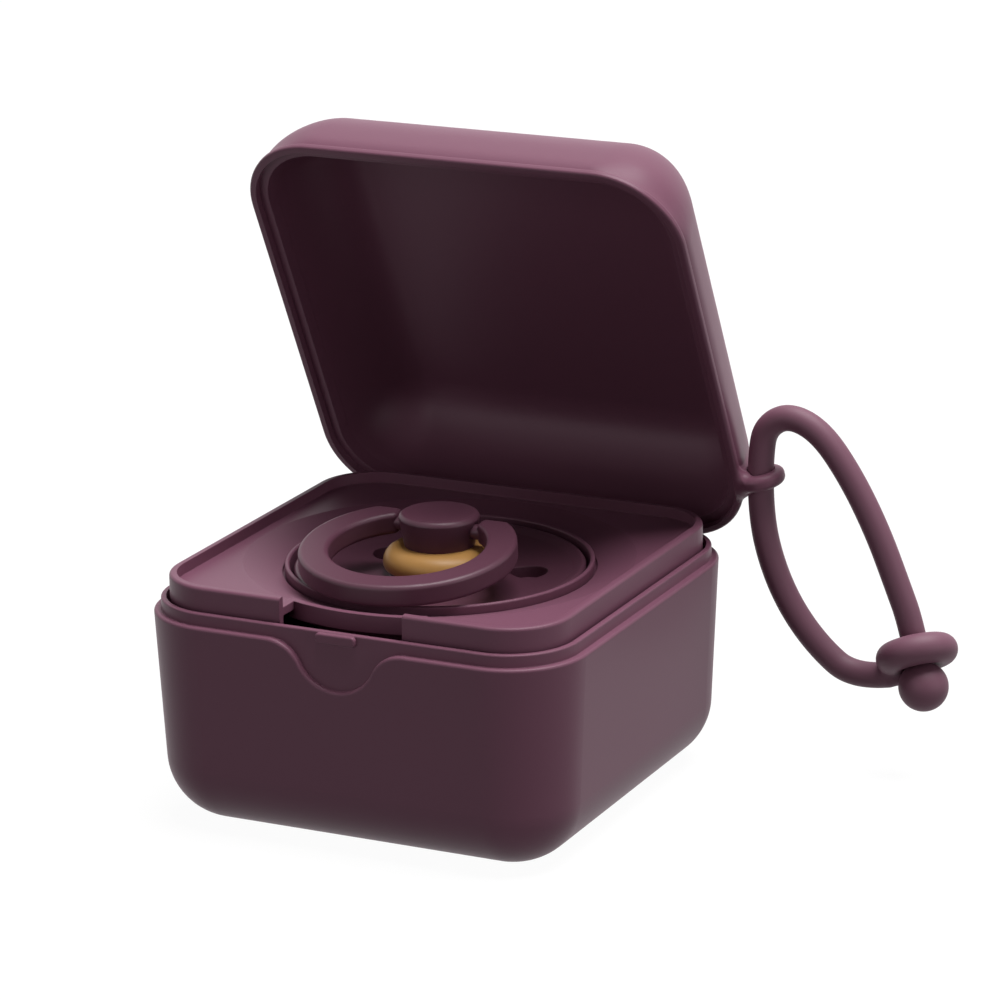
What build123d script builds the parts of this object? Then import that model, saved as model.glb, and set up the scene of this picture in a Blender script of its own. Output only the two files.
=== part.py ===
from build123d import *
import os
from math import cos, sin, tan, radians, sqrt

# A square pocket case that sterilises and carries one pacifier. Its lid hinges at the back and
# carries a silicone strap, and a lift-out tray holds the pacifier over the water in the base.
# Frame: mm, X to the right along the front, Y to the back, Z up, origin under the base's middle.

# ---- Base ----
case_width = 70.2          # across the shoulder, both ways
corner_radius = 12.06      # of the case seen from above, at the shoulder
shoulder_height = 33.12    # from the table to the ledge that runs round the base
wall_draft = 2.9           # degrees that the outer walls lean in towards the foot
foot_fillet = 10.35        # round turn from the walls to the flat foot
base_wall = 1.98
shoulder_round = 0.45
rim_inset = 1.12           # from the shoulder's edge to the raised rim
rim_height = 1.89          # of the raised rim above the shoulder
rim_thickness = 0.81
rim_round = 0.27
ledge_depth = 7.11         # from the shoulder down to the ledge that carries the tray
ledge_thickness = 1.8
ledge_reach = 1.71         # of the ledge, inwards from the rim's inner face

# ---- Thumb dip and latch in the front wall ----
dip_width = 22.32
dip_depth = 7.02
dip_bottom_radius = 6.66
latch_width = 6.57
latch_height = 1.62
latch_proud = 0.68
latch_corner = 0.63
latch_round = 0.32
latch_drop = 0.14          # from the rim's top edge down to the latch

# ---- Hinge ----
hinge_back = 0.27          # axis behind the back wall's shoulder edge
hinge_drop = 0.36          # axis below the shoulder
knuckle_radius = 1.35
pin_radius = 0.63
pin_running = 0.06         # radial clearance in the lid's knuckles
pin_grip = 0.01            # radial clearance in the base's knuckles
knuckle_gap = 0.3          # between neighbouring knuckles, and round them
end_knuckle = 3.6
lid_knuckle = 7.2
middle_knuckle = 18.0
pin_recess = 0.45          # from each end knuckle's face in to the pin
gusset_drop = 4.05         # of the rib under each base knuckle
rest_opening = 63.4        # degrees that the lid stands open from closed

# ---- Lid ----
lid_overhang = 1.22        # of the lid's lip past the shoulder, each side
lid_corner = 12.87         # of the lip seen from above
lid_gap = 0.81             # closed, from the shoulder up to the lid's edge
lip_height = 1.17          # of the bead that runs round the lid's edge
lip_stand = 0.2            # of that bead out from the lid's side
lip_round = 0.41
side_lean = 2.2            # degrees that the side leans in where it leaves the bead
side_radius = 20.7         # of the long curve up the side
side_turn = 42.0           # degrees of lean where that curve gives way to the tighter one
crown_radius = 9.9         # of the tighter curve into the flat top
crown_corner = 2.7         # least corner radius, at the top
crown_steps = 4            # sections that each curve is lofted through
lid_wall = 1.71            # at the top
inner_skirt = 2.25         # straight part of the inside above the seat
edge_thickness = 1.17      # of the outer lip that drops beside the base's rim
seat_width = 1.44          # of the step inside the lip that comes down on the base's rim
seat_gap = 0.1             # closed, from the rim up to that step

# ---- Strap lug on the lid's right side ----
lug_from_back = 12.36      # from the lid's rear edge forward to the eyelet
lug_out = 2.48             # from the lid's side out to the eyelet's middle
lug_up = 2.28              # from the lid's edge up to the eyelet's middle, closed
lug_tilt = 20.0            # degrees that the eyelet leans from the lid's edge, seen from the side
lug_rise = 12.0            # degrees that its outer end leans up with the lid open
lug_radius = 3.78
lug_thickness = 2.43
lug_round = 1.03
lug_root_width = 6.84      # of the tab where it leaves the lid's side
lug_root_height = 3.6
lug_root_drop = 0.54       # of the root's middle below the eyelet's
lug_root_shift = 1.8       # of the root's middle towards the lid's top
eyelet_clearance = 0.14    # round the strap

# ---- Strap ----
strap_diameter = 4.05
loop_clearance = 0.09      # round the strap in its loop ring
strap_plane = 33.34        # distance of the hanging strap behind the case's middle
loop_ring_radius = 4.0     # to the middle of the ring's round section
loop_ring_tube = 2.38
stop_ball_radius = 3.87
stop_ball_gap = 0.23       # between the ball and the ring that it holds
# Points in the strap's plane, as (across, up), from the eyelet to each free end.
upper_route = [(38.79, 44.46), (38.79, 48.06), (39.51, 52.83), (43.47, 55.26), (48.78, 53.01),
               (53.82, 46.26), (58.14, 38.16), (61.47, 29.88), (63.54, 24.62), (64.71, 19.42)]
lower_route = [(38.79, 44.46), (38.79, 39.24), (40.32, 31.86), (43.56, 24.66), (48.42, 18.54),
               (54.36, 14.13), (60.3, 15.48)]

# ---- Tray ----
tray_gap = 0.54            # between the tray's wall and the base's rim
tray_rise = 3.6            # of the tray's edge above the base's rim
tray_wall = 1.17
tray_edge_round = 0.5
plate_drop = 1.71          # from the tray's edge down to its plate
plate_thickness = 1.26
dish_radius = 29.88        # of the shallow dish round the collar
dish_depth = 1.8
shield_gap = 0.63          # between the shield's edge and the wall of its well
collar_height = 1.44       # above the dish
collar_wall = 0.72
collar_round = 0.32
groove_width = 0.36        # of the fine groove round the collar's foot
groove_depth = 0.45
well_depth = 4.5           # from the collar's top down to the floor that the shield sits on
well_floor = 1.26
well_hole_radius = 11.25   # the nipple hangs through it
steam_slots = 6
steam_slot_width = 2.7
steam_slot_length = 7.2
steam_slot_radius = 18.54
notch_width = 20.16        # of the gap in the tray's front wall for a fingertip
notch_depth = 5.94
apron_thickness = 1.08
apron_drop = 2.7           # of the curved wall behind that gap

# ---- Pacifier ----
shield_radius = 22.23
shield_edge = 1.71         # thickness of the shield
shield_bowl = 1.26         # rise of its top from the vents to the raised band round its edge
shield_band = 2.07         # width of that band
shield_band_rise = 1.26
shield_flat = 14.85        # radius of the flat underside that sits on the well's floor
shield_round = 0.54
hub_radius = 7.74
hub_height = 4.14          # of the flange's seat above the shield's flat underside
vent_radius = 2.93
vent_circle = 13.5
vent_count = 3
flange_radius = 8.55
flange_height = 2.7
neck_radius = 5.58
neck_clearance = 0.1       # between the nipple's neck and the shield
nipple_wall = 1.35
bulb_radius = 7.74
bulb_drop = 12.6           # from the shield's underside to the bulb's widest place
nipple_length = 23.4       # below the shield
knob_radius = 6.17
knob_foot = 5.4            # radius at the knob's underside
knob_height = 5.04
knob_dish = 0.54           # depth of the hollow in the knob's top
knob_round = 0.81
stem_radius = 4.14
stem_length = 5.85
ring_radius = 14.18        # to the middle of the handle's band
ring_band = 4.59
ring_thickness = 3.42
ring_round = 0.68
ring_end_round = 0.99      # of the corners beside the knob, seen from above
ring_reach = 10.62         # from the swing axis to the handle's middle
ring_axis_up = 2.61        # of the swing axis above the knob's underside
ring_droop = 6.0           # degrees that the handle rests below level
ring_tail = 1.62           # of the handle behind its swing axis
ring_clearance = 0.6       # round the knob
ring_pin_radius = 1.17
ring_pin_depth = 2.7       # into the knob
ring_pin_running = 0.06
swing_bore_extra = 0.23    # free length past the end of each ring pin

# ---- Places worked out from those sizes ----
half = case_width / 2
rim_outer = half - rim_inset
rim_inner = rim_outer - rim_thickness
rim_top = shoulder_height + rim_height
ledge_height = shoulder_height - ledge_depth
lean = tan(radians(wall_draft))
lid_half = half + lid_overhang
lid_edge = shoulder_height + lid_gap
curve_rise = sin(radians(side_turn)) - sin(radians(side_lean))
lid_height = lip_height + side_radius * curve_rise + crown_radius * (1 - sin(radians(side_turn)))
lid_inner = lid_half - edge_thickness - seat_width
seat_depth = rim_height - lid_gap + seat_gap
inner_crown_radius = crown_radius - lid_wall
inner_side_radius = (lid_height - lid_wall - seat_depth - inner_skirt
                     - inner_crown_radius * (1 - sin(radians(side_turn)))) / sin(radians(side_turn))
hinge_y = half + hinge_back
hinge_z = shoulder_height - hinge_drop
hinge_axis = Axis((0, hinge_y, hinge_z), (-1, 0, 0))
tray_half = rim_inner - tray_gap
tray_corner = corner_radius - (half - tray_half)
tray_top = rim_top + tray_rise
plate_top = tray_top - plate_drop
collar_radius = shield_radius + shield_gap + collar_wall
dish_bottom = plate_top - dish_depth
collar_top = dish_bottom + collar_height
well_top = collar_top - well_depth
hub_top = well_top + hub_height
knob_bottom = hub_top + flange_height
knob_top = knob_bottom + knob_height
ring_axis_z = knob_bottom + ring_axis_up


def rounded_block(half_width, radius, low, high):
    """A square block with round upright corners."""
    return Pos(0, 0, low) * extrude(RectangleRounded(2 * half_width, 2 * half_width, radius), high - low)


def leaning_block(top_half, radius, top, low):
    """The same block with walls that lean in towards its lower end."""
    return extrude(Pos(0, 0, top) * RectangleRounded(2 * top_half, 2 * top_half, radius),
                   top - low, dir=(0, 0, -1), taper=wall_draft)


def edges_at(solid, height, reach=0.02):
    """The edges that lie wholly at one height."""
    return ShapeList(e for e in solid.edges()
                     if abs(e.bounding_box().min.Z - height) < reach
                     and abs(e.bounding_box().max.Z - height) < reach)


def dip_outline():
    """The thumb dip seen from the front: two small turns into one wide round bottom."""
    turn = 2 * Vector(1, 0).get_angle(Vector(dip_width / 2, -dip_depth))
    top_radius = dip_width / 2 / sin(radians(turn)) - dip_bottom_radius
    start = (-dip_width / 2, 0)
    first = JernArc(start=start, tangent=(1, 0), radius=top_radius, arc_size=-turn)
    middle = JernArc(start=first @ 1, tangent=first % 1, radius=dip_bottom_radius, arc_size=2 * turn)
    last = JernArc(start=middle @ 1, tangent=middle % 1, radius=top_radius, arc_size=-turn)
    over = rim_height / 2
    top = Polyline(last @ 1, (dip_width / 2, over), (-dip_width / 2, over), start)
    return make_face([first, middle, last, top])


def knuckle_spans():
    """The hinge's knuckles from left to right, as (owner, left, right)."""
    row = [("base", end_knuckle), ("lid", lid_knuckle), ("base", middle_knuckle),
           ("lid", lid_knuckle), ("base", end_knuckle)]
    x = -(sum(length for _, length in row) + knuckle_gap * (len(row) - 1)) / 2
    spans = []
    for owner, length in row:
        spans.append((owner, x, x + length))
        x += length + knuckle_gap
    return spans


def along_x(profile, left, right):
    """A profile in the hinge's own (back, up) plane, drawn out along X."""
    plane = Plane(origin=(left, hinge_y, hinge_z), x_dir=(0, 1, 0), z_dir=(1, 0, 0))
    return extrude(plane * profile, right - left)


def make_base_case():
    outer = leaning_block(half, corner_radius, shoulder_height, 0)
    outer = fillet(edges_at(outer, 0), foot_fillet)
    outer -= Plane((0, -half - 1, shoulder_height), x_dir=(1, 0, 0), z_dir=(0, -1, 0)) * extrude(
        dip_outline(), -(1 + rim_inset))
    front = [e for e in outer.edges().filter_by(lambda e: e.bounding_box().max.Z > shoulder_height - dip_depth - 1)
             if not (e.bounding_box().min.Y > -rim_outer - 0.01 and e.bounding_box().max.Y < -rim_outer + 0.01)]
    rounded = [e for e in front if is_outer_lip(e)]
    outer = fillet(rounded, shoulder_round)
    outer += rounded_block(rim_outer, corner_radius - rim_inset, shoulder_height - 1, rim_top)
    outer = fillet(edges_at(outer, rim_top), rim_round)
    inner_corner = corner_radius - rim_inset - rim_thickness
    hollow = rounded_block(rim_inner, inner_corner, ledge_height, rim_top + 1)
    lower_half = half - ledge_depth * lean - base_wall
    lower = leaning_block(lower_half, inner_corner, ledge_height, base_wall)
    lower = fillet(edges_at(lower, base_wall), foot_fillet - base_wall)
    ledge = rounded_block(lower_half + base_wall / 2, inner_corner, ledge_height - ledge_thickness, ledge_height)
    ledge -= rounded_block(rim_inner - ledge_reach, inner_corner - ledge_reach,
                           ledge_height - ledge_thickness, ledge_height)
    case = outer - hollow - lower + ledge
    latch_top = rim_top - latch_drop
    latch = Box(latch_width, latch_proud + rim_thickness / 2, latch_height,
                align=(Align.CENTER, Align.MIN, Align.MAX))
    latch = Pos(0, -rim_outer - latch_proud, latch_top) * fillet(latch.edges().filter_by(Axis.Y), latch_corner)
    face_edges = latch.edges().filter_by(lambda e: e.bounding_box().max.Y < -rim_outer - latch_proud + 0.01)
    case += fillet(face_edges, latch_round)
    for owner, left, right in knuckle_spans():
        if owner == "lid":
            case -= along_x(Circle(knuckle_radius + knuckle_gap), left - knuckle_gap, right + knuckle_gap)
    wall = -hinge_back - rim_inset
    rib = Polygon((wall, 0.6 * knuckle_radius), (wall, -gusset_drop),
                  (knuckle_radius * cos(radians(30)), -knuckle_radius * sin(radians(30))), (0, knuckle_radius),
                  align=None)
    for owner, left, right in knuckle_spans():
        if owner == "base":
            case += along_x(Circle(knuckle_radius) + rib, left, right)
            case -= along_x(Circle(pin_radius + pin_grip), left, right)
    return case


def is_outer_lip(edge):
    """True for an edge of the shoulder's outer skin, the dip's curve included."""
    box = edge.bounding_box()
    flat = abs(box.min.Z - shoulder_height) < 0.01 and abs(box.max.Z - shoulder_height) < 0.01
    on_skin = max(abs(box.min.X), abs(box.max.X), abs(box.min.Y), abs(box.max.Y)) > rim_outer + 0.3
    crosses = abs(box.max.Y - box.min.Y) > rim_inset / 2 and abs(box.max.X - box.min.X) < 0.05 and flat
    in_dip = box.max.Z < shoulder_height + 0.01 and box.max.Y < -rim_outer - 0.3 and box.min.Z > ledge_height - 1
    return (flat or in_dip) and on_skin and not (crosses and box.max.Y > -rim_outer - rim_inset - 1
                                                 and box.max.Y < -rim_outer + 0.5)


def make_hinge_pin():
    spans = knuckle_spans()
    left, right = spans[0][1] + pin_recess, spans[-1][2] - pin_recess
    return along_x(Circle(pin_radius), left, right)


def crowned_block(half_width, corner, low, skirt, lean, long_radius, short_radius):
    """A square block: straight skirt, then two tangent curves one after the other into its flat top."""
    sections = [(low + skirt, 0)]
    for radius, start, end in ((long_radius, lean, side_turn), (short_radius, side_turn, 90)):
        base_z, base_inset = sections[-1]
        for step in range(1, crown_steps + 1):
            turn = radians(start + (end - start) * step / crown_steps)
            sections.append((base_z + radius * (sin(turn) - sin(radians(start))),
                             base_inset + radius * (cos(radians(start)) - cos(turn))))
    faces = [Pos(0, 0, z) * RectangleRounded(2 * (half_width - inset), 2 * (half_width - inset),
                                             max(corner - inset, crown_corner)) for z, inset in sections]
    return rounded_block(half_width, corner, low, low + skirt) + loft(faces)


def strap_way():
    """The way the strap hangs through the eyelet, on the closed lid."""
    return Vector(0, -sin(radians(rest_opening)), cos(radians(rest_opening)))


def lug_plane():
    """The eyelet's plane on the closed lid: X points out of the lid's side, Z is the way through."""
    tilt, rise = radians(lug_tilt), radians(lug_rise)
    through = Vector(0, -cos(tilt), sin(tilt))
    side = Vector(1, 0, 0)
    middle = (lid_half + lug_out, lid_half - lug_from_back, lid_edge + lug_up)
    return Plane(origin=middle, x_dir=side * cos(rise) + through * sin(rise),
                 z_dir=through * cos(rise) - side * sin(rise))


def make_lug():
    """A round eyelet and the tab that widens from it into the lid's lip."""
    eyelet = Cylinder(lug_radius, lug_thickness)
    eyelet = fillet(eyelet.edges().filter_by(GeomType.CIRCLE), lug_round)
    root = Plane(origin=(-lug_out - edge_thickness / 2, lug_root_shift, -lug_root_drop),
                 x_dir=(0, 1, 0), z_dir=(1, 0, 0)) * RectangleRounded(lug_root_width, lug_root_height, lug_round)
    neck = Plane(origin=(-0.3 * lug_radius, 0, 0), x_dir=(0, 1, 0), z_dir=(1, 0, 0)) * RectangleRounded(
        1.9 * lug_radius, 0.98 * lug_thickness, lug_round)
    return lug_plane() * (eyelet + loft([root, neck]))


def make_lid_shell():
    lip = rounded_block(lid_half, lid_corner, lid_edge, lid_edge + lip_height)
    lip = fillet(edges_at(lip, lid_edge) + edges_at(lip, lid_edge + lip_height), lip_round)
    shell = lip + crowned_block(lid_half - lip_stand, lid_corner - lip_stand, lid_edge + lip_round,
                                lip_height - lip_round, side_lean, side_radius, crown_radius)
    shell += make_lug()
    inner_corner = lid_corner - edge_thickness
    shell -= rounded_block(lid_half - edge_thickness, inner_corner, lid_edge - 1, lid_edge + seat_depth)
    shell -= crowned_block(lid_inner, inner_corner - seat_width, lid_edge + seat_depth, inner_skirt, 0,
                           inner_side_radius, inner_crown_radius)
    shell -= Plane(origin=lug_plane().origin, z_dir=strap_way()) * Cylinder(
        strap_diameter / 2 + eyelet_clearance, 3 * lug_thickness)
    rise = hinge_drop + lid_gap
    arm = Polygon((-knuckle_gap - 0.1, 0), (knuckle_radius - 0.1, 0), (knuckle_radius - 0.3, rise + 1.5),
                  (-knuckle_gap - 0.1, rise + 0.5), align=None)
    for owner, left, right in knuckle_spans():
        if owner == "base":
            shell -= along_x(Circle(knuckle_radius + knuckle_gap), left - knuckle_gap, right + knuckle_gap)
    for owner, left, right in knuckle_spans():
        if owner == "lid":
            shell += along_x(Circle(knuckle_radius) + arm, left, right)
            shell -= along_x(Circle(pin_radius + pin_running), left, right)
    return shell.rotate(hinge_axis, rest_opening)


def strap_points(route):
    return [Vector(x, strap_plane, z) for x, z in route]


def strap_tube(name, route):
    """Straight runs joined by arcs as large as the runs allow, swept with the strap's round section."""
    points = strap_points(route)
    radii = []
    for before, corner, after in zip(points, points[1:], points[2:]):
        shorter = min((corner - before).length, (after - corner).length)
        radii.append(0.45 * shorter / tan(radians((corner - before).get_angle(after - corner)) / 2))
    print(name, "arc radii", [round(r, 1) for r in radii])
    path = FilletPolyline(*points, radius=radii)
    tube = sweep(Plane(origin=path @ 0, z_dir=path % 0) * Circle(strap_diameter / 2), path=path)
    print(name, "length", round(path.length, 1), "volume over section times length",
          round(tube.volume / (3.14159265 * strap_diameter ** 2 / 4 * path.length), 4))
    return tube


def strap_end():
    """The strap's lower end, which is the loop ring's middle, and the way the strap runs through it."""
    last, end = strap_points(upper_route)[-2:]
    return end, (end - last).normalized()


def make_strap_ring():
    middle, way = strap_end()
    ring = Plane(origin=middle, z_dir=way) * Torus(loop_ring_radius, loop_ring_tube)
    before, end = strap_points(lower_route)[-2:]
    across = Vector(0, 1, 0)
    near_side = middle + way.cross(across).normalized() * loop_ring_radius
    if near_side.X > middle.X:
        near_side = middle * 2 - near_side
    socket = Plane(origin=end, x_dir=across, z_dir=end - before) * Circle(strap_diameter / 2)
    root = Plane(origin=near_side, x_dir=across, z_dir=-way) * Circle(0.9 * loop_ring_tube)
    ring += loft([socket, root], ruled=True)
    ring -= Plane(origin=end, z_dir=before - end) * extrude(Circle(strap_diameter / 2), (end - before).length / 2)
    bore = Plane(origin=middle, z_dir=way) * Cylinder(strap_diameter / 2 + loop_clearance, 6 * loop_ring_tube)
    return ring - bore


def make_strap_ball():
    middle, way = strap_end()
    touch = stop_ball_radius + loop_ring_tube + stop_ball_gap
    drop = sqrt(touch ** 2 - loop_ring_radius ** 2)
    ball = Pos(*(middle + way * drop)) * Sphere(stop_ball_radius)
    neck = Plane(origin=middle, z_dir=way) * Circle(strap_diameter / 2)
    return ball + extrude(neck, drop)


def round_wall(radius, thickness, height):
    """A plain round wall that stands on the plane it is made on."""
    upward = (Align.CENTER, Align.CENTER, Align.MIN)
    return Cylinder(radius, height, align=upward) - Cylinder(radius - thickness, height, align=upward)


def make_tray_insert():
    low = ledge_height
    wall = rounded_block(tray_half, tray_corner, low, tray_top)
    wall = fillet(edges_at(wall, tray_top), tray_edge_round)
    wall -= rounded_block(tray_half - tray_wall, tray_corner - tray_wall, low, tray_top)
    plate = rounded_block(tray_half - tray_wall / 2, tray_corner - tray_wall / 2,
                          plate_top - plate_thickness, plate_top)
    plate -= Pos(0, 0, plate_top) * Cylinder(dish_radius, 4 * plate_thickness)
    inside = collar_radius - collar_wall
    bowl = Polyline((dish_radius + 0.01, plate_top), (collar_radius, dish_bottom), (collar_radius, collar_top),
                    (inside, collar_top), (inside, well_top), (well_hole_radius, well_top),
                    (well_hole_radius, well_top - well_floor), (collar_radius, well_top - well_floor),
                    (collar_radius, dish_bottom - plate_thickness),
                    (dish_radius + 0.01, plate_top - plate_thickness), close=True)
    bowl = revolve(make_face(Plane.XZ * bowl), Axis.Z)
    bowl = fillet(edges_at(bowl, collar_top), collar_round)
    tray = wall + plate + bowl
    tray -= Pos(0, 0, dish_bottom - groove_depth) * round_wall(collar_radius + groove_width, groove_width, 1)
    apron = Pos(0, 0, plate_top - apron_drop) * round_wall(dish_radius, apron_thickness, apron_drop)
    tray += apron & Pos(0, -half, plate_top) * Box(notch_width + 2 * tray_wall, case_width, 6 * plate_thickness)
    gap = Pos(0, -half, tray_top - notch_depth) * Box(
        notch_width, case_width, notch_depth + 1, align=(Align.CENTER, Align.CENTER, Align.MIN))
    gap -= Cylinder(dish_radius, 2 * case_width, align=(Align.CENTER, Align.CENTER, Align.CENTER))
    tray -= gap
    slot = SlotOverall(steam_slot_length, steam_slot_width)
    for place in PolarLocations(steam_slot_radius, steam_slots, start_angle=360 / steam_slots / 2):
        cut = Pos(0, 0, well_top - 2 * well_floor) * place * Rot(0, 0, 90) * extrude(slot, 3 * well_floor)
        tray -= cut
    return tray


def make_pacifier_shield():
    """A shallow bowl with a raised band round its edge and a hub that the nipple's flange sits on."""
    rim = shield_radius
    low_top = well_top + shield_edge
    band_foot = rim - shield_band
    edge_top = low_top + shield_bowl + shield_band_rise
    bowl = ThreePointArc((band_foot, low_top + shield_bowl), (vent_circle, low_top),
                         (hub_radius, low_top + 0.6 * shield_bowl))
    under = ThreePointArc((shield_flat, well_top), ((shield_flat + band_foot) / 2, well_top + 0.27 * shield_bowl),
                          (band_foot, well_top + 0.9 * shield_bowl))
    inner = neck_radius + neck_clearance
    middle = Polyline(bowl @ 1, (hub_radius, hub_top), (inner, hub_top), (inner, well_top), under @ 0)
    edge = Polyline(under @ 1, (rim, edge_top - shield_edge), (rim, edge_top), bowl @ 0)
    shield = revolve(make_face(Plane.XZ * Wire([bowl, under] + middle.edges() + edge.edges())), Axis.Z)
    shield = fillet(shield.edges().filter_by(lambda e: e.bounding_box().max.X > rim - 0.05), shield_round)
    for place in PolarLocations(vent_circle, vent_count, start_angle=-90):
        shield -= Pos(0, 0, hub_top) * place * Cylinder(vent_radius, 2 * hub_height + 4 * shield_edge)
    return shield


def make_pacifier_nipple():
    """A hollow teat with a flange: the flange is gripped between the knob and the shield."""
    def skin(shrink):
        waist = well_top - nipple_length * 0.14
        wide = well_top - bulb_drop
        tip = well_top - nipple_length + shrink
        return waist, wide, tip
    waist, wide, tip = skin(0)
    side = Spline((neck_radius, well_top), (neck_radius - 0.2, waist), (bulb_radius, wide), (0, tip),
                  tangents=[(0, -1), (-1, 0)])
    inner_neck = neck_radius - nipple_wall
    waist, wide, tip = skin(nipple_wall)
    inside = Spline((inner_neck, well_top), (inner_neck - 0.2, waist), (bulb_radius - nipple_wall, wide), (0, tip),
                    tangents=[(0, -1), (-1, 0)])
    flange = ThreePointArc((flange_radius, hub_top + 0.6), (flange_radius * 0.92, hub_top + flange_height * 0.7),
                           (knob_foot + 0.4, knob_bottom))
    edges = [Line((neck_radius, well_top), (neck_radius, hub_top)),
             Line((neck_radius, hub_top), (flange_radius - 0.3, hub_top)),
             ThreePointArc((flange_radius - 0.3, hub_top), (flange_radius - 0.08, hub_top + 0.2),
                           (flange_radius, hub_top + 0.6)),
             flange,
             Line((knob_foot + 0.4, knob_bottom), (inner_neck, knob_bottom)),
             Line((inner_neck, knob_bottom), (inner_neck, well_top)),
             inside, Line((0, tip), (0, well_top - nipple_length)), side]
    return revolve(make_face(Plane.XZ * Wire(edges)), Axis.Z)


def make_pacifier_knob():
    dish = ThreePointArc((0, knob_top - knob_dish), (knob_radius * 0.45, knob_top - knob_dish * 0.72),
                         (knob_radius - knob_round, knob_top))
    turn = ThreePointArc((knob_radius - knob_round, knob_top),
                         (knob_radius - knob_round * 0.29, knob_top - knob_round * 0.29),
                         (knob_radius, knob_top - knob_round))
    stem_end = knob_bottom - stem_length
    rest = Polyline((knob_radius, knob_top - knob_round), (knob_foot, knob_bottom), (stem_radius, knob_bottom),
                    (stem_radius, stem_end), (0, stem_end), (0, knob_top - knob_dish))
    knob = revolve(make_face(Plane.XZ * Wire([dish, turn] + rest.edges())), Axis.Z)
    bore = ring_pin_depth + swing_bore_extra
    for side in (-1, 1):
        hole = Pos(side * (knob_radius - bore / 2 + 0.5), 0, ring_axis_z) * Rot(0, 90, 0) * Cylinder(
            ring_pin_radius + ring_pin_running, bore + 1)
        knob -= hole
    return knob


def make_pacifier_ring():
    """An open ring cut off straight behind its swing axis, with round corners beside the knob."""
    outline = Pos(0, -ring_reach) * (Circle(ring_radius + ring_band / 2) - Circle(ring_radius - ring_band / 2))
    outline -= Pos(0, ring_tail) * Rectangle(4 * ring_radius, 2 * ring_radius, align=(Align.CENTER, Align.MIN))
    outline -= Circle(knob_radius + ring_clearance)
    outline = fillet(outline.vertices(), ring_end_round)
    ring = Pos(0, 0, ring_axis_z - ring_thickness / 2) * extrude(outline, ring_thickness)
    flat_edges = edges_at(ring, ring_axis_z - ring_thickness / 2) + edges_at(ring, ring_axis_z + ring_thickness / 2)
    ring = fillet(flat_edges, ring_round)
    start = knob_radius - ring_pin_depth
    length = ring_pin_depth + ring_clearance + 2.0
    for side in (-1, 1):
        pin = Pos(side * (start + length / 2), 0, ring_axis_z) * Rot(0, 90, 0) * Cylinder(ring_pin_radius, length)
        ring += pin
    return ring.rotate(Axis((0, 0, ring_axis_z), (1, 0, 0)), ring_droop)


makers = {
    "base_case": make_base_case,
    "hinge_pin": make_hinge_pin,
    "lid_shell": make_lid_shell,
    "strap_upper": lambda: strap_tube("strap_upper", upper_route),
    "strap_lower": lambda: strap_tube("strap_lower", lower_route),
    "strap_ring": make_strap_ring,
    "strap_ball": make_strap_ball,
    "tray_insert": make_tray_insert,
    "pacifier_shield": make_pacifier_shield,
    "pacifier_nipple": make_pacifier_nipple,
    "pacifier_knob": make_pacifier_knob,
    "pacifier_ring": make_pacifier_ring,
}

os.makedirs("parts", exist_ok=True)
for name, make in makers.items():
    export_step(Part() + make(), f"parts/{name}.step")
print("hinge axis y, z", hinge_y, round(hinge_z, 3), "ring axis z", round(ring_axis_z, 3))
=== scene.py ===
from math import cos, pi, radians, sin

import bpy
import numpy as np
from mathutils import Matrix, Vector


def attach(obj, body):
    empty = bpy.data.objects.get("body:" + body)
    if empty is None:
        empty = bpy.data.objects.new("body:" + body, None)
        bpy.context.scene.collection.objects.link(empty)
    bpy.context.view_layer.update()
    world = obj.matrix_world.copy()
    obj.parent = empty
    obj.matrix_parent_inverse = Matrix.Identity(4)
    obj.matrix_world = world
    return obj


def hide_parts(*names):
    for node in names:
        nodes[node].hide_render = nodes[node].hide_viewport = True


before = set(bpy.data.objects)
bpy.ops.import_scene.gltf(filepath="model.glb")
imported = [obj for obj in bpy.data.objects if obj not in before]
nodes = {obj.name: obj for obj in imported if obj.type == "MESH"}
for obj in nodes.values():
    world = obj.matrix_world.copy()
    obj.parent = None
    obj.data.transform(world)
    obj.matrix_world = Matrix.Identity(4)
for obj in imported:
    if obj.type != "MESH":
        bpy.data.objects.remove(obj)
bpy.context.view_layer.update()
mm = 0.001    # sizes below are in millimetres unless a note says otherwise


# An sRGB hex colour as the linear values that shaders take.
def linearColour(code):
    channels = [int(code[i:i + 2], 16) / 255 for i in (1, 3, 5)]
    return [c / 12.92 if c <= 0.04045 else ((c + 0.055) / 1.055) ** 2.4 for c in channels]


# Adds a node, sets its properties, and sets or links its inputs.
def addNode(tree, kind, inputs=(), **settings):
    node = tree.nodes.new(kind)
    for name, value in settings.items():
        setattr(node, name, value)
    for name, value in dict(inputs).items():
        if isinstance(value, bpy.types.NodeSocket):
            tree.links.new(value, node.inputs[name])
        else:
            node.inputs[name].default_value = value
    return node


def newObject(name, data, body):
    item = bpy.data.objects.new(name, data)
    bpy.context.scene.collection.objects.link(item)
    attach(item, body)
    return item


def setMaterial(item, material):
    item.data.materials.clear()
    item.data.materials.append(material)


# A smooth-shaded piece from points in millimetres.
def meshObject(name, points, faces, body, material):
    mesh = bpy.data.meshes.new(name)
    mesh.from_pydata((points * mm).tolist(), [], faces.tolist())
    mesh.shade_smooth()
    item = newObject(name, mesh, body)
    setMaterial(item, material)
    return item


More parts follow.
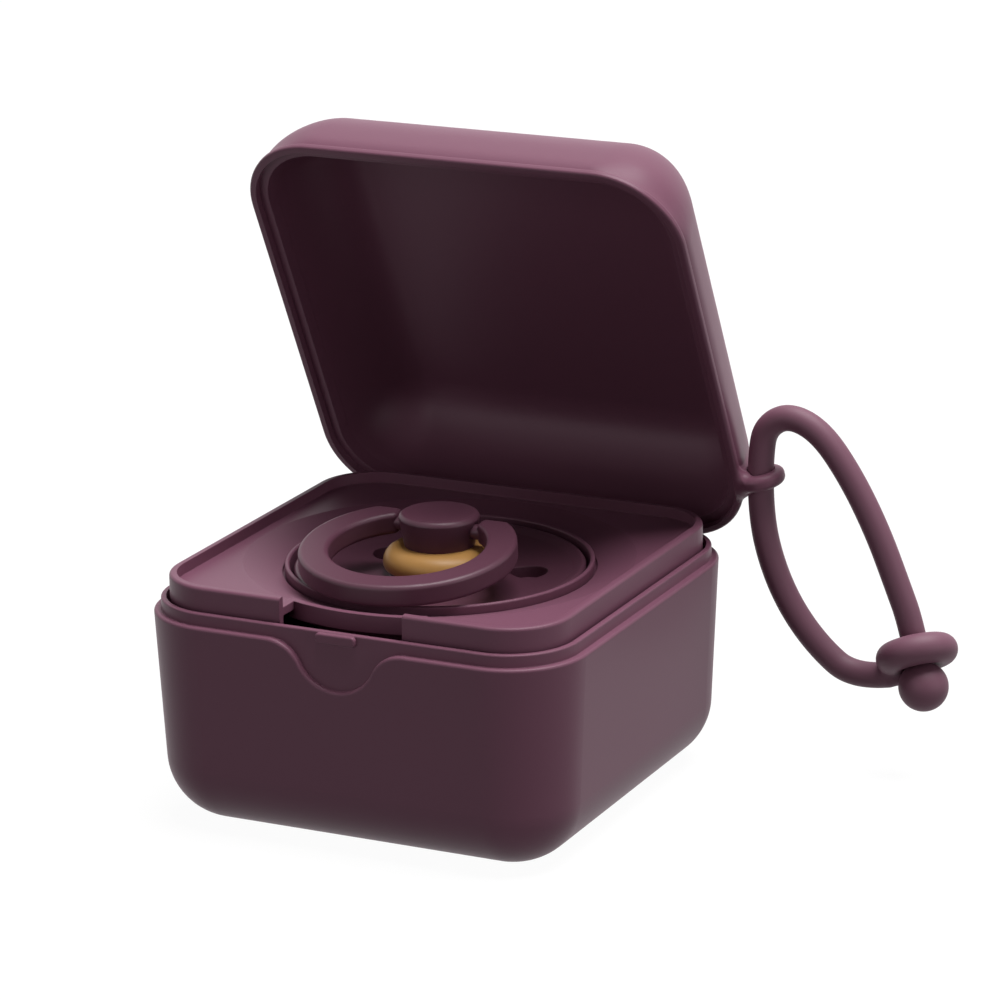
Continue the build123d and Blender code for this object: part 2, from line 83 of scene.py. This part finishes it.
# The surface where a field of distances passes through nought. Each grid cell that it crosses
# gets one point, the mean of the crossings on the cell's edges, and each grid edge that it
# crosses gets a four-sided face between the cells round that edge.
def surfaceNet(field, low, high, step):
    axes = [np.arange(a, b + step, step) for a, b in zip(low, high)]
    grid = np.stack(np.meshgrid(*axes, indexing="ij"), -1)
    value = field(grid)
    size = value.shape
    total = np.zeros((size[0] - 1, size[1] - 1, size[2] - 1, 3))
    count = np.zeros(total.shape[:3])
    for axis in range(3):
        a, b = (axis + 1) % 3, (axis + 2) % 3
        for shiftA in (0, 1):
            for shiftB in (0, 1):
                start = [slice(0, n - 1) for n in size]
                start[a] = slice(shiftA, size[a] - 1 + shiftA)
                start[b] = slice(shiftB, size[b] - 1 + shiftB)
                end = list(start)
                end[axis] = slice(1, None)
                v0, v1 = value[tuple(start)], value[tuple(end)]
                crossed = (v0 < 0) != (v1 < 0)
                share = np.where(crossed, v0 / np.where(crossed, v0 - v1, 1), 0)[..., None]
                point = grid[tuple(start)] * (1 - share) + grid[tuple(end)] * share
                total += np.where(crossed[..., None], point, 0)
                count += crossed
    mixed = count > 0
    index = np.full(count.shape, -1)
    index[mixed] = np.arange(mixed.sum())
    points = total[mixed] / count[mixed][:, None]
    faces = []
    for axis in range(3):
        a, b = (axis + 1) % 3, (axis + 2) % 3
        start = [slice(1, -1)] * 3
        start[axis] = slice(0, -1)
        end = list(start)
        end[axis] = slice(1, None)
        v0, v1 = value[tuple(start)], value[tuple(end)]
        corners = []
        for shiftA, shiftB in ((0, 0), (1, 0), (1, 1), (0, 1)):
            cell = [slice(None)] * 3
            cell[a] = slice(shiftA, size[a] - 2 + shiftA)
            cell[b] = slice(shiftB, size[b] - 2 + shiftB)
            corners.append(index[tuple(cell)])
        quads = np.stack(corners, -1)
        faces.append(quads[(v0 < 0) & (v1 >= 0)])
        faces.append(quads[(v0 >= 0) & (v1 < 0)][:, ::-1])
    return points, np.concatenate(faces)


# The smaller of two distances, rounded where they're within reach of each other.
def blend(first, second, reach):
    share = np.clip(0.5 + 0.5 * (second - first) / reach, 0, 1)
    return second + (first - second) * share - reach * share * (1 - share)


# Distance to a shape bounded by two distances: the larger one, with the edge between them rounded.
def roundedEdge(a, b, radius):
    a, b = a + radius, b + radius
    return np.minimum(np.maximum(a, b), 0) + np.hypot(np.maximum(a, 0), np.maximum(b, 0)) - radius


# Distance to a box or a square with rounded corners, from how far a point is past the box on each axis
# once the box is drawn in by the corner's radius.
def roundedBox(past, radius):
    return np.linalg.norm(np.maximum(past, 0), axis=-1) + np.minimum(past.max(-1), 0) - radius


# The camera's place is given by the way it looks and by a point on its axis.
cameraSettings = {
    "azimuth": 26.10, "elevation": 16.99, "roll": -0.93,    # degrees
    "distance": 501.21, "target": (94.23, -171.30, 105.29),
    "focal": 4660.7, "picture": 1000,    # pixels
    "sensor": 36, "clip": (0.01, 20),    # the clip is in metres
}


def makeCamera(s):
    az, el, roll = (radians(s[k]) for k in ("azimuth", "elevation", "roll"))
    back = Vector((sin(az) * cos(el), -cos(az) * cos(el), sin(el)))
    level = (-back).cross(Vector((0, 0, 1))).normalized()
    upright = level.cross(-back)
    right = level * cos(roll) + upright * sin(roll)
    up = upright * cos(roll) - level * sin(roll)
    data = bpy.data.cameras.new("camera")
    data.sensor_width = s["sensor"]
    data.lens = s["focal"] / s["picture"] * data.sensor_width
    data.clip_start, data.clip_end = s["clip"]
    camera = bpy.data.objects.new("camera", data)
    bpy.context.scene.collection.objects.link(camera)
    place = Vector(s["target"]) * mm + back * s["distance"] * mm
    camera.matrix_world = Matrix.Translation(place) @ Matrix((right, up, back)).transposed().to_4x4()
    bpy.context.scene.camera = camera


makeCamera(cameraSettings)
print("camera")

# Grain is the width of the moulded grain and depth its height.
finishSettings = {
    # Polypropylene from a spark-eroded mould: the fine grain spreads highlights into a satin haze.
    "case": {"name": "polypropyleneErodedMould", "colour": "#71485a", "roughness": 0.43, "specular": 0.2,
             "grain": 0.35, "depth": 0.02},
    # Moulded silicone: soft, nearly matt, with broad dull highlights.
    "strap": {"name": "siliconeMoulded", "colour": "#704a5a", "roughness": 0.55, "specular": 0.3,
              "grain": 0.4, "depth": 0.015},
    # Polypropylene from a finer mould: a darker plum with a smoother satin than the case.
    "pacifier": {"name": "polypropyleneFineMould", "colour": "#563342", "roughness": 0.42, "specular": 0.3,
                 "grain": 0.35, "depth": 0.01},
    # Dipped natural rubber: warm amber with a soft waxy shine.
    "nipple": {"name": "naturalRubberDipped", "colour": "#b98a4e", "roughness": 0.4, "specular": 0.3,
               "grain": 0.6, "depth": 0.01},
}


# A grain of noise tilts the surface a little, and the bevel softens edges that are sharp in the solids.
def makeFinish(s):
    material = bpy.data.materials.new(s["name"])
    material.use_nodes = True
    tree = material.node_tree
    shader = tree.nodes["Principled BSDF"]
    shader.inputs["Base Color"].default_value = (*linearColour(s["colour"]), 1)
    shader.inputs["Roughness"].default_value = s["roughness"]
    shader.inputs["Specular IOR Level"].default_value = s["specular"]
    place = addNode(tree, "ShaderNodeTexCoord")
    noise = addNode(tree, "ShaderNodeTexNoise", {
        "Vector": place.outputs["Object"], "Scale": 1 / (s["grain"] * mm), "Detail": 3.0, "Roughness": 0.6})
    edge = addNode(tree, "ShaderNodeBevel", {"Radius": 0.2 * mm}, samples=4)
    bump = addNode(tree, "ShaderNodeBump", {
        "Height": noise.outputs["Fac"], "Distance": s["depth"] * mm, "Strength": 0.5,
        "Normal": edge.outputs["Normal"]})
    tree.links.new(bump.outputs["Normal"], shader.inputs["Normal"])
    return material


casePlastic = makeFinish(finishSettings["case"])
strapSilicone = makeFinish(finishSettings["strap"])
pacifierPlastic = makeFinish(finishSettings["pacifier"])
nippleRubber = makeFinish(finishSettings["nipple"])
for name in ("base_case", "hinge_pin", "lid_shell", "tray_insert"):
    setMaterial(nodes[name], casePlastic)
for name in ("pacifier_shield", "pacifier_knob", "pacifier_ring"):
    setMaterial(nodes[name], pacifierPlastic)
setMaterial(nodes["pacifier_nipple"], nippleRubber)
print("materials")

# The loop ring lies about a tilted axis, and the ball sits against it where the strap comes through.
ringSettings = {
    "middle": (64.71, 33.34, 19.42), "way": (0.363, -0.371, -0.854), "strapWay": (0.2195, 0.0, -0.9756),
    "radius": 4.0, "tube": 2.38, "bore": 2.09,
    "tailStart": (60.0, 33.34, 15.41), "tailEnd": (63.6, 34.6, 16.4), "tailRadii": (2.03, 1.9), "tailBlend": 0.7,
    "ball": (66.5, 31.6, 14.95), "ballRadius": 3.87, "gap": 0.12,
    "neckRadius": 2.0, "neckBlend": 0.3,
    "ringRoom": 8, "ballRoom": (5, 7), "step": 0.16,    # room for the grid round each, and its spacing
}


# Distance from a straight line: what is left of the way there once its part along the line is taken out.
def lineDistance(grid, start, way):
    away = grid - np.array(start)
    along = away @ np.array(way)
    return np.sqrt(np.maximum((away ** 2).sum(-1) - along ** 2, 0))


# Distance from the nearest point of a straight stretch, less a radius that runs evenly from end to end.
def taperedRod(grid, start, end, radii):
    start, end = np.array(start), np.array(end)
    share = np.clip(((grid - start) @ (end - start)) / ((end - start) @ (end - start)), 0, 1)
    reach = np.linalg.norm(grid - start - share[..., None] * (end - start), axis=-1)
    return reach - (radii[0] + (radii[1] - radii[0]) * share)


# Distance from a circle about the tilted axis, less the tube's radius, blended with the strap's end.
# The strap's bore and the ball with its gap are taken out.
def ringField(grid, s):
    away = grid - np.array(s["middle"])
    rise = away @ np.array(s["way"])
    reach = np.sqrt(np.maximum((away ** 2).sum(-1) - rise ** 2, 0))
    ring = np.hypot(reach - s["radius"], rise) - s["tube"]
    tail = taperedRod(grid, s["tailStart"], s["tailEnd"], s["tailRadii"])
    shape = blend(ring, tail, s["tailBlend"])
    shape = np.maximum(shape, s["bore"] - lineDistance(grid, s["middle"], s["strapWay"]))
    fromBall = np.linalg.norm(grid - np.array(s["ball"]), axis=-1)
    return np.maximum(shape, s["ballRadius"] + s["gap"] - fromBall)


# Distance from the ball's middle less its radius, blended with the strap's end that runs into it.
def ballField(grid, s):
    ball = np.linalg.norm(grid - np.array(s["ball"]), axis=-1) - s["ballRadius"]
    neck = taperedRod(grid, s["middle"], s["ball"], (s["neckRadius"], s["neckRadius"]))
    return blend(ball, neck, s["neckBlend"])


def makeRingAndBall(s):
    middle, ball = np.array(s["middle"]), np.array(s["ball"])
    points, faces = surfaceNet(
        lambda grid: ringField(grid, s), middle - s["ringRoom"], middle + s["ringRoom"], s["step"])
    ring = meshObject("strapLoopRing", points, faces, "lid", strapSilicone)
    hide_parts("strap_ring")
    points, faces = surfaceNet(
        lambda grid: ballField(grid, s), ball - s["ballRoom"][0], ball + s["ballRoom"][1], s["step"])
    stop = meshObject("strapStopBall", points, faces, "lid", strapSilicone)
    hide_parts("strap_ball")
    return ring, stop


loopRing, stopBall = makeRingAndBall(ringSettings)
print("loop ring and ball")

# Both stretches hang in one upright plane, whose distance behind the middle is plane. Their points
# are given as across and up, from the eyelet outwards.
strapSettings = {
    "diameter": 4.05, "plane": 33.34,
    "upper": [(38.79, 44.46), (38.79, 48.06), (39.51, 52.83), (43.47, 55.26), (48.78, 53.01),
              (53.82, 46.26), (58.14, 38.16), (61.47, 29.88), (63.54, 24.62), (64.71, 19.42)],
    "lower": [(38.79, 44.46), (38.79, 39.24), (40.32, 31.86), (43.56, 24.66), (48.42, 18.54),
              (54.36, 14.13), (60.3, 15.48)],
    "upperLength": 55.6, "lowerLength": 41.5,
}


# A round cord whose line is a smooth spline that the route's points control. The points carry the
# strap's radius, so that the curve's own box fits the strap.
def cordCurve(name, route, plane, diameter):
    data = bpy.data.curves.new(name, "CURVE")
    data.dimensions = "3D"
    data.resolution_u = 24
    data.bevel_depth = 1.0
    data.bevel_resolution = 12
    spline = data.splines.new("NURBS")
    spline.points.add(len(route) - 1)
    for point, (across, up) in zip(spline.points, route):
        point.co = (across * mm, plane * mm, up * mm, 1)
        point.radius = diameter * mm / 2
    spline.order_u = 3
    spline.use_endpoint_u = True
    spline.use_smooth = True
    return data


def makeStrap(s):
    stretches = [("strapUpper", s["upper"], "strap_upper", s["upperLength"], stopBall),
                 ("strapLower", s["lower"], "strap_lower", s["lowerLength"], loopRing)]
    for name, route, node, length, carried in stretches:
        cord = newObject(name, cordCurve(name, route, s["plane"], s["diameter"]), "lid")
        setMaterial(cord, strapSilicone)
        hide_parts(node)


makeStrap(strapSettings)
print("strap")

# Sizes are on the shut lid, which then turns by its rest opening about the hinge.
lugSettings = {
    "hinge": (35.37, 32.76), "opening": 63.4,    # back and up, and degrees
    "side": 36.32, "corner": 12.87, "lean": 2.2, "curve": 20.7,    # the lid's outline and how its side leans in
    "edge": 33.93, "lip": 1.17, "lipRound": 0.41, "stand": 0.2,    # the bead round the lid's edge
    "middle": (38.8, 23.96, 36.21), "tilt": 20.0, "rise": 12.0,    # the eyelet's middle and lean
    "radius": 3.78, "thickness": 2.43, "round": 1.03, "hole": (38.79, 33.34), "bore": 2.14,
    "root": (-1.9, 1.45, -0.3), "rootSize": (1.7, 3.87, 1.7), "rootBlend": 1.0,
    "blend": 2.4, "under": 0.03, "depth": 0.9,    # how far the flare lies under the lid's skin, and its wall
    "low": (32.6, 15.5, 32.4), "high": (43.5, 32.5, 44.6), "margin": 0.3, "step": 0.14,
}


# Points of the shut lid, turned to its rest opening about the hinge.
def openLid(points, s):
    turn = radians(s["opening"])
    forward, up = s["hinge"][0] - points[..., 1], points[..., 2] - s["hinge"][1]
    return np.stack([points[..., 0], s["hinge"][0] - cos(turn) * forward + sin(turn) * up,
                     s["hinge"][1] + sin(turn) * forward + cos(turn) * up], -1)


# The lid's bead is a rounded square slab, and its side is the same square drawn in along an arc.
# The eyelet is a round slab with a rounded edge, and its root a rounded box. The two are blended,
# then blended with the bead and the side, and the strap's bore and the lid's inside are taken out.
def lugField(grid, s):
    z = grid[..., 2]
    outline = roundedBox(np.abs(grid[..., :2]) - s["side"] + s["corner"], s["corner"])
    slab = np.abs(z - s["edge"] - s["lip"] / 2) - s["lip"] / 2
    lip = roundedEdge(outline, slab, s["lipRound"])
    lean = radians(s["lean"])
    turn = sin(lean) + np.maximum(z - s["edge"] - s["lip"], 0) / s["curve"]
    inward = s["curve"] * (cos(lean) - np.sqrt(1 - turn ** 2))
    side = np.maximum(outline + s["stand"] + inward, s["edge"] + s["lipRound"] - z)
    tilt, rise = radians(s["tilt"]), radians(s["rise"])
    through = np.array([0, -cos(tilt), sin(tilt)])
    out = np.array([1.0, 0, 0])
    across = out * cos(rise) + through * sin(rise)
    upright = through * cos(rise) - out * sin(rise)
    away = grid - np.array(s["middle"])
    local = np.stack([away @ across, away @ np.cross(upright, across), away @ upright], -1)
    eyelet = roundedEdge(np.hypot(local[..., 0], local[..., 1]) - s["radius"],
                         np.abs(local[..., 2]) - s["thickness"] / 2, s["round"])
    past = np.abs(local - np.array(s["root"])) - np.array(s["rootSize"]) + s["round"]
    tab = blend(eyelet, roundedBox(past, s["round"]), s["rootBlend"])
    shape = blend(np.minimum(lip, side), tab, s["blend"]) + s["under"]
    world = openLid(grid, s)
    hole = s["bore"] - np.hypot(world[..., 0] - s["hole"][0], world[..., 1] - s["hole"][1])
    return np.maximum(np.maximum(shape, hole), -s["depth"] - outline - inward)


# The field is closed off just inside its grid, where the flare has run out into the lid's side.
def makeEyeletRoot(s):
    low, high = np.array(s["low"]), np.array(s["high"])

    def trimmed(grid):
        past = np.maximum(low - grid, grid - high).max(-1) + s["margin"]
        return np.maximum(lugField(grid, s), past)

    points, faces = surfaceNet(trimmed, low, high, s["step"])
    meshObject("eyeletRoot", openLid(points, s), faces, "lid", casePlastic)


makeEyeletRoot(lugSettings)
print("eyelet's root")

# Radius and height of the points down the flange's rim, over the shield's hub.
flangeSettings = {
    "rim": [(5.7, 38.86), (6.4, 38.84), (7.15, 38.62), (7.8, 38.22), (8.27, 37.68), (8.56, 37.05), (8.68, 36.4),
            (8.64, 35.85), (8.45, 35.45), (8.1, 35.25), (7.8, 35.3), (7.8, 36.5), (5.7, 38.0)],
    "turns": 160,
}


# The rim's line turned about the upright axis, in even steps.
def makeFlangeRim(s):
    radius, height = np.array(s["rim"]).T
    angle = np.linspace(0, 2 * pi, s["turns"], endpoint=False)[:, None]
    points = np.stack([radius * np.cos(angle), radius * np.sin(angle), height + 0 * angle], -1)
    count = len(radius)
    ring, step = np.meshgrid(np.arange(s["turns"]), np.arange(count), indexing="ij")
    nextRing, nextStep = (ring + 1) % s["turns"], (step + 1) % count
    faces = np.stack([ring * count + step, ring * count + nextStep, nextRing * count + nextStep,
                      nextRing * count + step], -1).reshape(-1, 4)
    meshObject("nippleFlangeRim", points.reshape(-1, 3), faces, "tray", nippleRubber)


makeFlangeRim(flangeSettings)
print("nipple's flange")

# Each light shines at the case from a direction. Distance and size are in metres, power in watts.
lightSettings = {
    "overheadSoftbox": {"way": (0.20, 0.14, 0.97), "distance": 1.1, "size": 0.75, "power": 20.5},
    "rightPanel": {"way": (0.97, -0.12, 0.16), "distance": 1.3, "size": 0.6, "power": 3.2},
    "frontPanel": {"way": (-0.30, -0.93, 0.20), "distance": 1.5, "size": 0.9, "power": 3.0},
}
lightAim = (0, 0, 0.04)    # metres


def makeLight(name, s):
    data = bpy.data.lights.new(name, "AREA")
    data.shape = "SQUARE"
    data.size = s["size"]
    data.energy = s["power"]
    light = bpy.data.objects.new(name, data)
    bpy.context.scene.collection.objects.link(light)
    way = Vector(s["way"]).normalized()
    light.location = Vector(lightAim) + way * s["distance"]
    light.rotation_mode = "QUATERNION"
    light.rotation_quaternion = (-way).to_track_quat("-Z", "Y")


for name, settings in lightSettings.items():
    makeLight(name, settings)
print("lights")

# The floor reaches half its width each way, in metres.
stageSettings = {
    "floorHalf": 1.5, "floorShade": 0.08, "floorRoughness": 0.9, "floorGlow": 0.96, "worldLevel": 0.01,
}
white = (1, 1, 1, 1)


# One for rays from the camera and for sharp reflections and clear glass, nought for light that bounces.
def seenDirectly(tree):
    path = addNode(tree, "ShaderNodeLightPath")
    mirror = addNode(tree, "ShaderNodeMath", {
        0: path.outputs["Is Camera Ray"], 1: path.outputs["Is Glossy Ray"]}, operation="MAXIMUM")
    either = addNode(tree, "ShaderNodeMath", {
        0: mirror.outputs[0], 1: path.outputs["Is Transmission Ray"]}, operation="MAXIMUM")
    return either.outputs[0]


# Matt floor that throws little light back. Seen directly it glows to white, and keeps the shadow.
def makeFloor(s):
    half, shade = s["floorHalf"], s["floorShade"]
    mesh = bpy.data.meshes.new("floor")
    corners = [(-half, -half, 0), (half, -half, 0), (half, half, 0), (-half, half, 0)]
    mesh.from_pydata(corners, [], [(0, 1, 2, 3)])
    floor = bpy.data.objects.new("floor", mesh)
    bpy.context.scene.collection.objects.link(floor)
    material = bpy.data.materials.new("floorPaleMatte")
    material.use_nodes = True
    tree = material.node_tree
    shader = tree.nodes["Principled BSDF"]
    shader.inputs["Base Color"].default_value = (shade, shade, shade, 1)
    shader.inputs["Roughness"].default_value = s["floorRoughness"]
    shader.inputs["Specular IOR Level"].default_value = 0.0
    glow = addNode(tree, "ShaderNodeEmission", {"Color": white, "Strength": s["floorGlow"]})
    bright = addNode(tree, "ShaderNodeAddShader", {0: shader.outputs[0], 1: glow.outputs[0]})
    mix = addNode(tree, "ShaderNodeMixShader", {
        0: seenDirectly(tree), 1: shader.outputs[0], 2: bright.outputs[0]})
    tree.links.new(mix.outputs[0], tree.nodes["Material Output"].inputs["Surface"])
    setMaterial(floor, material)


# A dim world that is white where it is seen directly.
def makeWorld(s):
    world = bpy.data.worlds.new("studio")
    world.use_nodes = True
    bpy.context.scene.world = world
    tree = world.node_tree
    tree.nodes.clear()
    soft = addNode(tree, "ShaderNodeBackground", {"Color": white, "Strength": s["worldLevel"]})
    backdrop = addNode(tree, "ShaderNodeBackground", {"Color": white, "Strength": 1.0})
    mix = addNode(tree, "ShaderNodeMixShader", {
        0: seenDirectly(tree), 1: soft.outputs[0], 2: backdrop.outputs[0]})
    addNode(tree, "ShaderNodeOutputWorld", {"Surface": mix.outputs[0]})


makeFloor(stageSettings)
makeWorld(stageSettings)
bpy.context.scene.view_settings.view_transform = "Standard"
print("stage")
